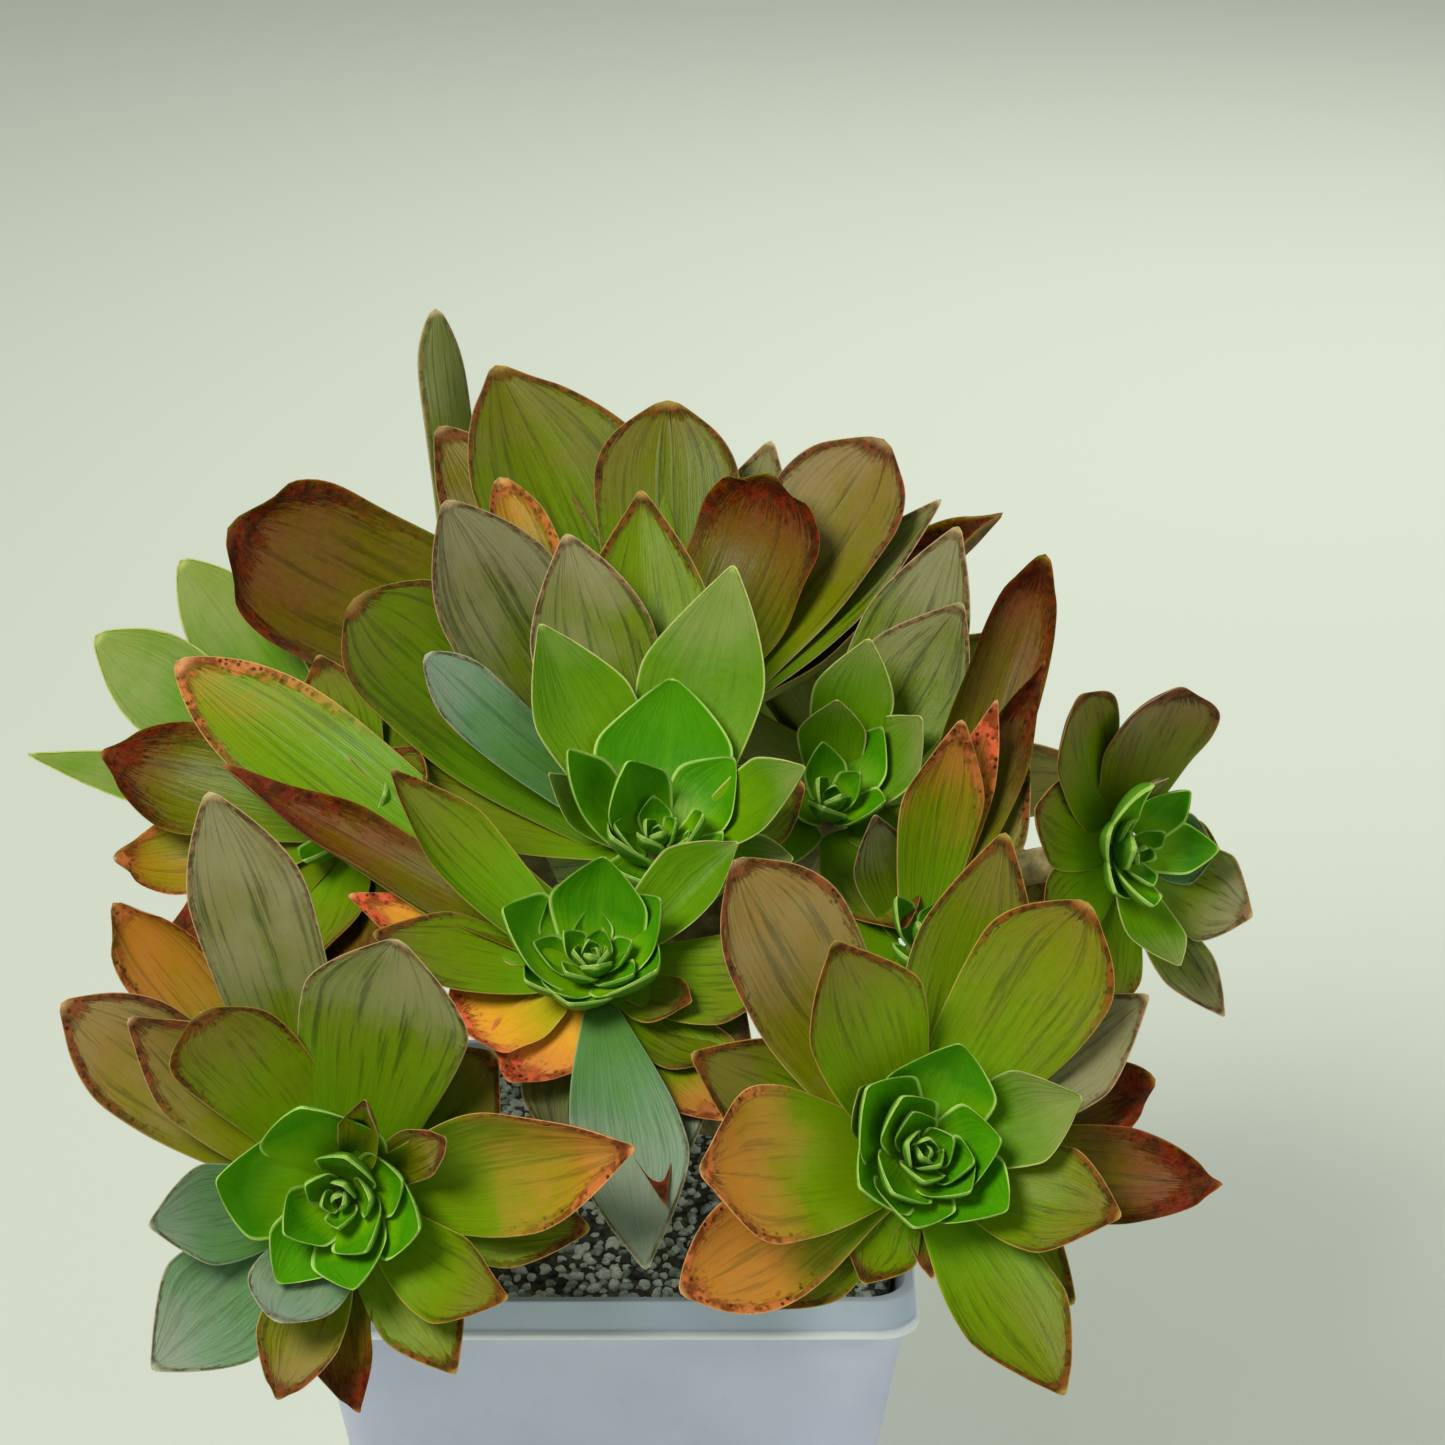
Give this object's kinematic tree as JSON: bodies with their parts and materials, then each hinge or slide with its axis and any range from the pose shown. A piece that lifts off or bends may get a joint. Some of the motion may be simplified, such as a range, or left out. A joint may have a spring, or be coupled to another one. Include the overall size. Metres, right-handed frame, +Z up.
{
  "type": "potted succulent",
  "caption": "Branching rosette succulent with fleshy pointed leaves, rooted in gritty potting mix in a small square tapered nursery pot.",
  "frame": {"origin": "middle of the pot's base, on the surface it stands on", "axes": "+Z up, the plant's front and the pot's front face towards -Y, +X to the right seen from the front"},
  "size_m": [0.1887, 0.1726, 0.1993],
  "materials": {
    "pot": "satin",
    "potting_mix": "matte",
    "stem": "matte",
    "leaf_heart": "satin",
    "leaf_fresh": "satin",
    "leaf_olive": "satin",
    "leaf_bronze": "satin",
    "leaf_rust": "satin",
    "leaf_blush": "satin",
    "leaf_amber": "satin",
    "leaf_grey": "satin",
    "leaf_dusky": "satin"
  },
  "bodies": {
    "root": {"pot": "pot", "stem": "stem", "potting_mix": "potting_mix", "crown_heart": "leaf_heart", "front_heart": "leaf_heart", "left_heart": "leaf_heart", "right_heart": "leaf_heart", "side_heart": "leaf_heart", "middle_heart": "leaf_heart", "top_heart": "leaf_heart", "crown_leaf_1": "leaf_fresh", "crown_leaf_2": "leaf_fresh", "crown_leaf_3": "leaf_grey", "crown_leaf_4": "leaf_olive", "crown_leaf_5": "leaf_fresh", "crown_leaf_6": "leaf_grey", "crown_leaf_7": "leaf_olive", "front_leaf_1": "leaf_fresh", "front_leaf_2": "leaf_amber", "front_leaf_3": "leaf_rust", "front_leaf_4": "leaf_blush", "front_leaf_5": "leaf_dusky", "front_leaf_6": "leaf_amber", "front_leaf_7": "leaf_olive", "left_leaf_1": "leaf_dusky", "left_leaf_2": "leaf_dusky", "left_leaf_3": "leaf_bronze", "left_leaf_4": "leaf_rust", "left_leaf_5": "leaf_olive", "left_leaf_6": "leaf_grey", "left_leaf_7": "leaf_grey", "left_leaf_8": "leaf_olive", "left_leaf_9": "leaf_bronze", "left_leaf_10": "leaf_amber", "right_leaf_1": "leaf_fresh", "right_leaf_2": "leaf_olive", "right_leaf_3": "leaf_olive", "right_leaf_4": "leaf_amber", "right_leaf_5": "leaf_amber", "right_leaf_6": "leaf_olive", "right_leaf_7": "leaf_bronze", "right_leaf_8": "leaf_olive", "right_leaf_9": "leaf_grey", "right_leaf_10": "leaf_rust", "side_leaf_1": "leaf_bronze", "side_leaf_2": "leaf_olive", "side_leaf_3": "leaf_grey", "side_leaf_4": "leaf_grey", "middle_leaf_1": "leaf_grey", "top_leaf_1": "leaf_olive", "top_leaf_2": "leaf_olive", "top_leaf_3": "leaf_bronze", "top_leaf_4": "leaf_rust", "top_leaf_5": "leaf_rust", "top_leaf_6": "leaf_rust", "between_rosette": "leaf_rust", "far_left_rosette": "leaf_rust", "back_left_rosette": "leaf_bronze", "back_right_rosette": "leaf_olive", "back_low_rosette": "leaf_olive"}
  },
  "joints": []
}
